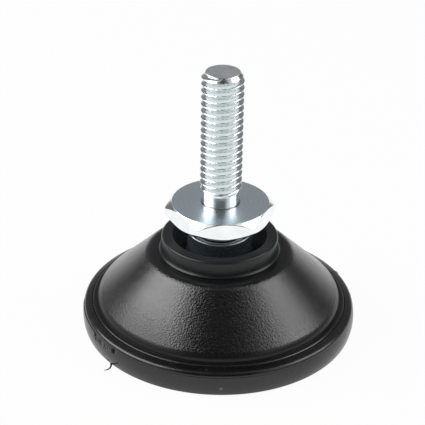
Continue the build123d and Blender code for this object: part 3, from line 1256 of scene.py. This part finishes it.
@dataclass
class RubberPad:
    """Rubber sole: a cup with a bowed side that grips the flange, grooved below, with torn flash."""

    radius: float
    top: float
    floor: float
    widest_level: float = 1.85
    side_radius: float = 5.0
    wall: float = 1.38
    lip_fall: float = 0.4
    foot_round: float = 0.5
    shoulder_round: float = 0.65
    lip_round: float = 0.05
    grip_lift: float = 0.8
    grip_depth: float = 0.4
    grip_half: float = 0.44
    groove_count: int = 4
    groove_first: float = 8.0
    groove_pitch: float = 2.9
    groove_width: float = 1.1
    groove_depth: float = 0.55
    groove_round: float = 0.12
    columns: int = 230
    torn_columns: int = 90
    rough_columns: int = 55
    seam_level: float = 3.12
    seam_from: float = -180.0
    seam_peel: float = -153.0
    seam_to: float = -148.5
    seam_drop: float = 1.0
    seam_thickness: float = 0.15
    seam_wave: float = 0.03
    seam_proud: float = 0.02
    seam_stand: float = 0.12
    seam_points: int = 70
    scuff: Mark = Mark(-146.0, 2.64, 6.0, 0.35)
    scuff_relief: float = 0.09
    scuff_sink: float = 0.04
    nick: Mark = Mark(-137.3, 2.9, 1.2, 0.26)
    nick_depth: float = 0.25
    pit: Mark = Mark(-140.4, 0.74, 0.7, 0.2)
    pit_depth: float = 0.12
    ridge: Mark = Mark(12.0, 2.65, 5.0, 0.3)
    ridge_height: float = 0.09
    ridge_relief: float = 0.08
    bump: Mark = Mark(24.0, 3.4, 0.9, 0.35)
    bump_height: float = 0.16
    most_proud: float = 0.15
    speck: Mark = Mark(-88.3, 1.43)
    hair_heading: float = -82.0
    hair_curl: float = -105.0
    hair_length: float = 2.35
    hair_thickness: float = 0.32
    hair_lift: float = 0.03
    hair_points: int = 40
    strand_sides: int = 12

    @classmethod
    def from_frame(cls) -> "RubberPad":
        """Reads the pad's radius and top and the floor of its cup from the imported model."""
        high = box_mm("rubber_pad")[1]
        return cls(high.x, high.z, box_mm("foot_base")[0].z)

    def side_at(self, height: np.ndarray) -> np.ndarray:
        """Returns the wide arc's radius at a height: its centre's radius plus the root of what is left."""
        reach = np.sqrt(self.side_radius**2 - (height - self.widest_level) ** 2)
        return self.radius - self.side_radius + reach

    def side_rows(self) -> np.ndarray:
        """Returns the bowed side: one wide arc with a smaller arc rounding each of its ends.

        The wide arc's centre lies at the widest level. Each small arc touches it from inside, the lower one
        also the floor and the upper one the sloping lip.
        """
        centre = np.array((self.radius - self.side_radius, self.widest_level))
        shoulder = self.top - self.lip_fall
        edge = float(self.side_at(np.array(shoulder)))
        low_reach = self.side_radius - self.foot_round
        low_angle = math.asin((self.foot_round - self.widest_level) / low_reach)
        low_centre = centre + low_reach * np.array((math.cos(low_angle), math.sin(low_angle)))
        lip = np.array((self.radius - self.wall - edge, self.lip_fall))
        lip_normal = math.atan2(-lip[0], lip[1])
        lip_way = np.array((math.cos(lip_normal), math.sin(lip_normal)))
        inset = (centre - np.array((edge, shoulder))) @ lip_way
        high_reach = self.side_radius - self.shoulder_round
        high_angle = lip_normal - math.acos((-self.shoulder_round - inset) / high_reach)
        high_centre = centre + high_reach * np.array((math.cos(high_angle), math.sin(high_angle)))
        low_turn, high_turn, lip_turn = np.degrees((low_angle, high_angle, lip_normal))
        lower = arc(tuple(low_centre), self.foot_round, -90, low_turn)
        middle = arc(tuple(centre), self.side_radius, low_turn, high_turn, 1.6)
        upper = arc(tuple(high_centre), self.shoulder_round, high_turn, lip_turn)
        return np.vstack((lower, middle[1:], upper[1:]))

    def section(self) -> np.ndarray:
        """Returns the whole section, from the underside's middle round to the middle of the cup's floor."""
        middles = self.groove_first + self.groove_pitch * np.arange(self.groove_count)
        half = self.groove_width / 2
        grooves = [
            corner
            for middle in middles
            for corner in (
                (middle - half, 0.0),
                (middle - half, self.groove_depth, self.groove_round),
                (middle + half, self.groove_depth, self.groove_round),
                (middle + half, 0.0),
            )
        ]
        side = self.side_rows()
        inner = self.radius - self.wall
        grip = self.floor + self.grip_lift
        under = rounded_line([(0.0, 0.0), *grooves, tuple(side[0])], step=0.8)
        cup = rounded_line(
            [
                tuple(side[-1]),
                (inner, self.top, self.lip_round),
                (inner, grip + self.grip_half),
                (inner - self.grip_depth, grip),
                (inner, grip - self.grip_half),
                (inner, self.floor),
                (0.0, self.floor),
            ],
            step=0.8,
        )
        return np.vstack((under, side[1:], cup[1:]))

    def damage(self, angle: np.ndarray, height: np.ndarray) -> np.ndarray:
        """Works out how far the side stands out or is torn away, in millimetres.

        It is a sum of bells, some of them roughened by a ripple of three sines of the angle: a torn scuff
        and a nick by the moulding seam, a pit at the root of the loose hair, and at the back a rough low
        ridge with one bump near the top edge.

        Args:
            angle: Angles of the points.
            height: Heights of the points.

        Returns:
            The change of radius.
        """
        ripple = np.sin(angle * 173) * np.sin(angle * 71 + 1) + 0.6 * np.sin(angle * 311 + 2)
        heights = (
            (self.scuff, self.scuff_relief * ripple - self.scuff_sink),
            (self.nick, -self.nick_depth),
            (self.pit, -self.pit_depth),
            (self.ridge, self.ridge_height + self.ridge_relief * ripple),
            (self.bump, self.bump_height),
        )
        return sum(mark.bell(angle, height) * high for mark, high in heights)

    def build(self) -> bpy.types.Object:
        """Carries the section round the axis and adds the damage to the outer side.

        The columns are even, with more of them between the seam's peel and the nick and at the ridge.
        """
        section = self.section()
        even = np.linspace(-180, 180, self.columns, endpoint=False)
        torn = np.linspace(self.seam_peel, self.nick.turn + 5, self.torn_columns)
        rough = np.linspace(self.ridge.turn - 8, self.bump.turn + 4, self.rough_columns)
        angle = np.radians(np.unique(np.concatenate((even, torn, rough))))[None, :]
        radius = section[:, :1] + 0 * angle
        height = section[:, 1:] + 0 * angle
        outer = smooth_step(radius, self.radius - self.wall + 0.2, self.radius - 0.5)
        outer = outer * smooth_step(height, 0.0, 0.3)
        radius = radius + outer * self.damage(angle, height)
        radius = np.minimum(radius, self.radius + self.most_proud)
        return make_piece("rubber_sole", around_axis(radius, angle, height), sharp=40.0)

    def strand(self, name: str, path: np.ndarray, thickness: np.ndarray) -> bpy.types.Object:
        """Builds a thin strand of rubber: circles square to a path, which close to a point at both ends.

        Args:
            name: Name of the piece.
            path: Points of the strand's middle line, evenly spaced.
            thickness: Thickness at each point, 0 at both ends.

        Returns:
            The piece.
        """
        ahead = unit(np.gradient(path, axis=0))
        across = unit(np.cross(ahead, (0.0, 0.0, 1.0)))
        over = np.cross(across, ahead)
        turn = np.linspace(0, 2 * math.pi, self.strand_sides, endpoint=False)[None, :, None]
        circle = across[:, None] * np.cos(turn) + over[:, None] * np.sin(turn)
        points = path[:, None] + circle * (thickness / 2)[:, None, None]
        return make_piece(name, points, sharp=60.0)

    def seam_flash(self) -> bpy.types.Object:
        """Builds the flash on the moulding seam, a thin strand along the side that peels off at its end.

        Along the strand the angle grows evenly and the height waves a little. Past the peel the height
        falls along a smooth step, and the strand stands further off the side by the same share.
        """
        share = np.linspace(0, 1, self.seam_points)
        turn = self.seam_from + share * (self.seam_to - self.seam_from)
        peel = smooth_step(turn, self.seam_peel, self.seam_to)
        height = self.seam_level - self.seam_drop * peel + self.seam_wave * np.sin(turn * 2.1)
        reach = self.side_at(height) + self.seam_proud + self.seam_stand * peel
        path = around_axis(reach, np.radians(turn), height)
        ends = smooth_step(share, 0.0, 0.15) * smooth_step(share, 1.0, 0.9)
        return self.strand("seam_flash", path, self.seam_thickness * ends)

    def torn_hair(self) -> bpy.types.Object:
        """Builds the torn thread of rubber that curls on the floor at the sole's lower edge.

        Its heading turns with the square of the distance along it, and its points are the running sum of
        short steps along the heading.
        """
        share = np.linspace(0, 1, self.hair_points)
        heading = np.radians(self.hair_heading + self.hair_curl * share**2)
        step = self.hair_length / (len(share) - 1)
        turn = math.radians(self.pit.turn)
        root = (self.radius - self.foot_round) * np.array((math.cos(turn), math.sin(turn)))
        along = np.cumsum(np.stack((np.cos(heading), np.sin(heading)), axis=-1) * step, axis=0)
        thickness = self.hair_thickness * smooth_step(share, 0.0, 0.1) * np.sqrt(1 - share)
        height = self.hair_lift + self.hair_thickness / 2 * (1 - 0.5 * share)
        path = np.column_stack((root + along, height))
        return self.strand("torn_hair", path, thickness)

    def dress(self) -> None:
        """Builds the sole and its torn bits, gives them their rubber and hides the plain solid."""
        marks = (self.scuff, self.speck, self.nick)
        turn = np.radians([mark.turn for mark in marks])
        level = np.array([mark.level for mark in marks])
        spots = around_axis(self.side_at(level), turn, level).tolist()
        finish = SoleRubber(self.seam_level, *map(tuple, spots)).make()
        piece = self.build()
        for part in (piece, self.seam_flash(), self.torn_hair()):
            dress(part, Body.FOOT, finish)
        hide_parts("rubber_pad")


# Studio


@dataclass(frozen=True)
class SoftBox:
    """A soft box that faces the object: its angles, roll, width and brightness, 1 for white.

    The turn is the angle from the camera's side, and the roll tips the box about the line to the object.
    """

    name: str
    turn: float
    rise: float
    roll: float
    width: float
    radiance: float
    height: float = 225.0
    distance: float = 420.0

    def hang(self) -> None:
        """Hangs the box where its angles and distance put it, turned to the object and rolled."""
        lamp = bpy.data.lights.new(self.name, "AREA")
        lamp.shape = "RECTANGLE"
        lamp.size = self.width * MM
        lamp.size_y = self.height * MM
        lamp.energy = self.radiance * math.pi * self.width * self.height * MM * MM
        around = math.radians(self.turn)
        up = math.radians(self.rise)
        way = Vector((math.sin(around) * math.cos(up), -math.cos(around) * math.cos(up), math.sin(up)))
        box = bpy.data.objects.new(self.name, lamp)
        box.location = way * self.distance * MM
        rolled = Quaternion((0.0, 0.0, 1.0), math.radians(self.roll))
        box.rotation_euler = (way.to_track_quat("Z", "Y") @ rolled).to_euler()
        box.visible_camera = False
        bpy.context.scene.collection.objects.link(box)


@dataclass
class Studio:
    """White floor, two soft boxes at the sides, the left one brighter, and the photograph's camera."""

    image: float = 425.0
    elevation: float = 29.492
    distance: float = 204.16
    focal_pixels: float = 1416.1
    roll: float = 1.17
    target_height: float = 15.0
    target_pixel: tuple[float, float] = (220.24, 230.00)
    sensor: float = 36.0
    boxes: tuple[SoftBox, ...] = (
        SoftBox("soft_box_left", -90.0, 43.5, 33.0, 400.0, 4.0),
        SoftBox("soft_box_right", 92.0, 42.0, -33.0, 230.0, 2.5),
    )
    floor_size: float = 4000.0
    floor_drop: float = 0.02
    floor_white: float = 0.9
    floor_glow: float = 0.96
    back: Colour = (0.27, 0.27, 0.28, 1.0)
    back_sides: float = 0.16
    camera_side: float = 0.05
    zenith: float = 0.04
    panels: float = 0.90
    fill: float = 0.22

    def camera(self) -> None:
        """Sets the camera, turned so that a point of the axis lands on its own pixel, then rolled."""
        rise = math.radians(self.elevation)
        back = np.array((0, -math.cos(rise), math.sin(rise)))
        place = np.array((0, 0, self.target_height)) + back * self.distance
        right = np.array((1.0, 0, 0))
        up = np.cross(right, -back)
        aside = (self.target_pixel[0] - self.image / 2) / self.focal_pixels
        below = (self.target_pixel[1] - self.image / 2) / self.focal_pixels
        ahead = unit(-back - aside * right + below * up)
        right = unit(right - ahead * (right @ ahead))
        up = np.cross(right, ahead)
        roll = math.radians(self.roll)
        turned_right = math.cos(roll) * right + math.sin(roll) * up
        turned_up = math.cos(roll) * up - math.sin(roll) * right
        lens = bpy.data.cameras.new("photo_camera")
        lens.sensor_width = self.sensor
        lens.lens = self.focal_pixels / self.image * self.sensor
        lens.clip_start = 0.01
        camera = bpy.data.objects.new("photo_camera", lens)
        rows = np.eye(4)
        rows[:3, :4] = np.stack((turned_right, turned_up, -ahead, place * MM), axis=-1)
        camera.matrix_world = Matrix(rows.tolist())
        bpy.context.scene.collection.objects.link(camera)
        bpy.context.scene.camera = camera

    def seen(self, graph: Graph) -> Value:
        """Returns 1 for rays from the camera, or mirrored or passed on from it, and 0 for others."""
        path = graph.add("ShaderNodeLightPath").outputs
        seen = Value(graph, path["Is Camera Ray"])
        seen = seen.most(Value(graph, path["Is Glossy Ray"]))
        return seen.most(Value(graph, path["Is Transmission Ray"]))

    def floor(self) -> None:
        """Lays the floor: white to the camera and in mirrors, partly plain white that takes the shadow."""
        half = self.floor_size / 2
        x, y = np.meshgrid(np.linspace(-half, half, 3), np.linspace(-half, half, 3), indexing="ij")
        points = np.stack((x, y, 0 * x - self.floor_drop), axis=-1)
        mesh = bpy.data.meshes.new("white_floor")
        faces = grid_quads(3, 3, wrap_columns=False).reshape(-1, 4)
        mesh.from_pydata((points.reshape(-1, 3) * MM).tolist(), [], faces.tolist())
        floor = bpy.data.objects.new("white_floor", mesh)
        bpy.context.scene.collection.objects.link(floor)
        material, graph = new_material("white_floor")
        plain = graph.add("ShaderNodeBsdfDiffuse", None, {"Color": grey(self.floor_white)}).outputs[0]
        glow = graph.add("ShaderNodeEmission", None, {"Color": grey(1.0), "Strength": 1.0}).outputs[0]
        graph.surface(graph.blend(self.seen(graph) * self.floor_glow, plain, glow))
        mesh.materials.append(material)

    def surroundings(self) -> None:
        """Sets the room: white at the horizon, pale panels at both sides, dim above and by the camera.

        Two more pale panels hang high in front, one on each side, where the hexagon's chamfer mirrors them.
        Rays that light the object without being mirrored see one even grey.
        """
        world = bpy.data.worlds.new("studio")
        world.use_nodes = True
        graph = Graph(world.node_tree)
        way = graph.add("ShaderNodeTexCoord").outputs["Generated"]
        aside, behind, above = graph.axes(way)
        back = graph.mix(aside.size().rise(0.35, 0.65), self.back, grey(self.back_sides))
        room = graph.mix(behind.rise(-0.5, 0.6), grey(self.camera_side), back)
        room = graph.mix(above.rise(0.75, 0.93), room, grey(self.zenith))
        beside = aside.size().rise(0.45, 0.60) * behind.rise(0.42, 0.25) * above.rise(0.15, 0.40)
        overhead = above.rise(0.83, 0.87) * aside.size().rise(0.08, 0.16)
        overhead = overhead * behind.rise(-0.04, -0.09) * behind.rise(-0.33, -0.28)
        room = graph.mix(beside.most(overhead), room, grey(self.panels))
        shown = graph.mix(above.rise(0.12, 0.0), room, grey(1.0))
        colour = graph.mix(self.seen(graph), grey(self.fill), shown)
        shader = graph.add("ShaderNodeBackground", None, {"Color": colour, "Strength": 1.0}).outputs[0]
        graph.surface(shader, "ShaderNodeOutputWorld")
        bpy.context.scene.world = world

    def build(self) -> None:
        """Sets the camera, the floor, the room and the two soft boxes."""
        bpy.context.scene.view_settings.view_transform = "Standard"
        self.camera()
        self.floor()
        self.surroundings()
        for box in self.boxes:
            box.hang()


def main() -> None:
    """Builds the studio and every piece, and reports each one."""
    logging.basicConfig(level=logging.INFO, format="%(message)s")
    Studio().build()
    for kind in (RubberPad, FootBase, BallSocket, BallStud):
        assembly = kind.from_frame()
        assembly.dress()
        LOG.info("dressed %s", kind.__name__)


if __name__ == "__main__":
    main()
